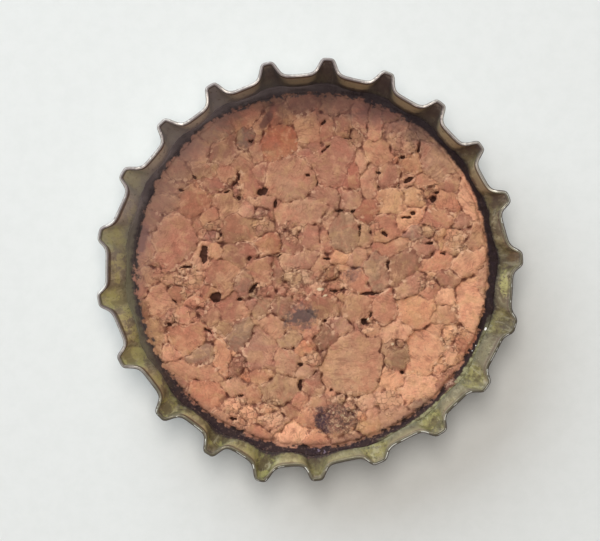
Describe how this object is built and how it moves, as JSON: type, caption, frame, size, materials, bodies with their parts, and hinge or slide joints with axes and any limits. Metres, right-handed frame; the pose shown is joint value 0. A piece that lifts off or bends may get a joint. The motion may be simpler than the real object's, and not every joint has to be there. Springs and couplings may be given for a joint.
{
  "type": "bottle cap",
  "caption": "Used metal crown cap for a bottle, with a fluted skirt and a cork disc liner, lying on its back with the cork showing.",
  "frame": {"origin": "centre of the flat underside of the shell's panel, which the cap rests on", "axes": "+Z out of the open rim, along the cap's axis; +Y to the far side and +X to the right, as seen from above with the opener's dent at the front right"},
  "size_m": [0.0314, 0.0313, 0.006],
  "materials": {
    "lacquered_tinplate": "thin tinned steel with worn olive-gold lacquer inside, bare and tarnished at the rim, plain outside",
    "cork": "agglomerated cork granules, dry and matt, with pits and dark stains"
  },
  "bodies": {
    "root": {"shell": "lacquered_tinplate", "cork_liner": "cork"}
  },
  "joints": []
}
